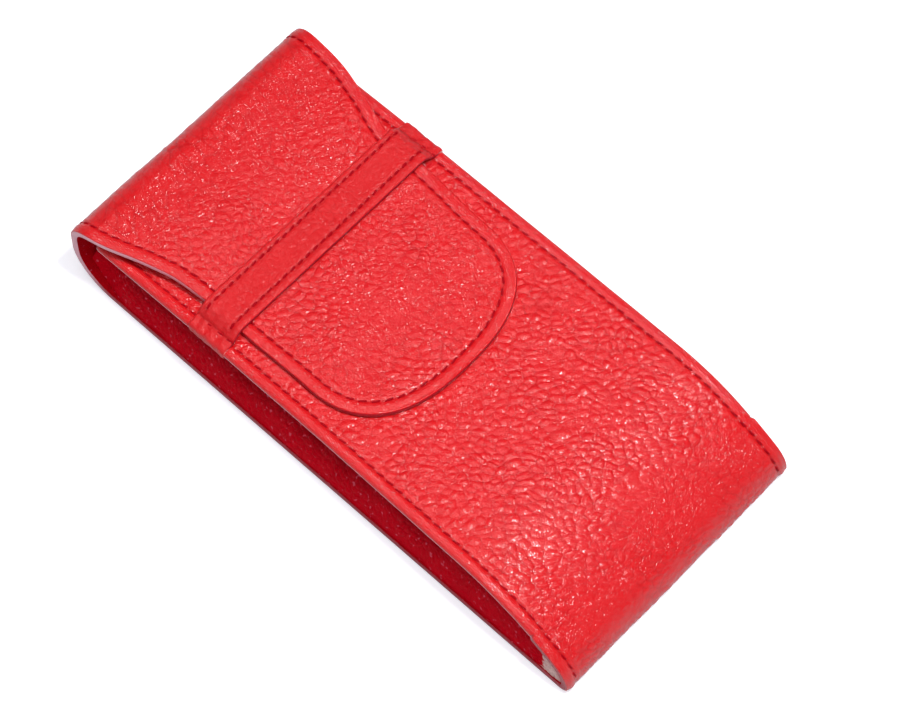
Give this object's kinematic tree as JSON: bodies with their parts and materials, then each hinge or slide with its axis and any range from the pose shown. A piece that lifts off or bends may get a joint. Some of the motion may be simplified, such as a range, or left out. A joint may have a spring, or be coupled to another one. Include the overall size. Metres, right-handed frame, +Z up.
{
  "type": "leather flap case",
  "caption": "Slim red pebbled-leather case with folded side gussets and a long rounded flap that tucks under a stitched cross band.",
  "frame": {"origin": "centre of the footprint, on the surface the case lies on", "axes": "+X across the case to its right side, +Y along it to the fold of the flap, +Z up out of the front panel"},
  "size_m": [0.075, 0.158, 0.0256],
  "materials": {
    "pebbled_leather": "pebbled grain, semi-gloss, edges painted",
    "gusset_leather": "fine pebbled grain, semi-gloss",
    "band_leather": "fine grain, semi-gloss",
    "lining_leather": "smooth matt",
    "band_backing": "smooth matt",
    "thread": "twisted thread, satin"
  },
  "bodies": {
    "case": {"wrap_leather": "pebbled_leather", "wrap_lining": "lining_leather", "gusset_left": "gusset_leather", "gusset_right": "gusset_leather", "band_leather": "band_leather", "band_lining": "band_backing", "front_left_thread": "thread", "front_right_thread": "thread", "back_left_thread": "thread", "back_right_thread": "thread", "mouth_thread": "thread", "band_upper_thread": "thread", "band_lower_thread": "thread"},
    "turn_low": {"turn_low_leather": "pebbled_leather", "turn_low_lining": "lining_leather", "turn_low_thread": "thread"},
    "turn_high": {"turn_high_leather": "pebbled_leather", "turn_high_lining": "lining_leather", "turn_high_thread": "thread"},
    "flap": {"flap_leather": "pebbled_leather", "flap_lining": "lining_leather", "flap_thread": "thread"}
  },
  "joints": [
    {"name": "fold_low", "type": "hinge", "parent": "case", "child": "turn_low", "pos_m": [0, 0.07207, 0.00112], "axis": [-1, 0, 0], "range_deg": [0, 50], "deforming": ["band_leather", "band_lining", "band_upper_thread", "band_lower_thread"]},
    {"name": "fold_middle", "type": "hinge", "parent": "turn_low", "child": "turn_high", "pos_m": [0, 0.07859, 0.00889], "axis": [-1, 0, 0], "range_deg": [0, 44.5]},
    {"name": "fold_top", "type": "hinge", "parent": "turn_high", "child": "flap", "pos_m": [0, 0.0768, 0.0223], "axis": [-1, 0, 0], "range_deg": [0, 80.5]}
  ],
  "couplings": [
    {"joint": "fold_middle", "follows": "fold_low", "ratio": 0.89},
    {"joint": "fold_top", "follows": "fold_low", "ratio": 1.61}
  ]
}
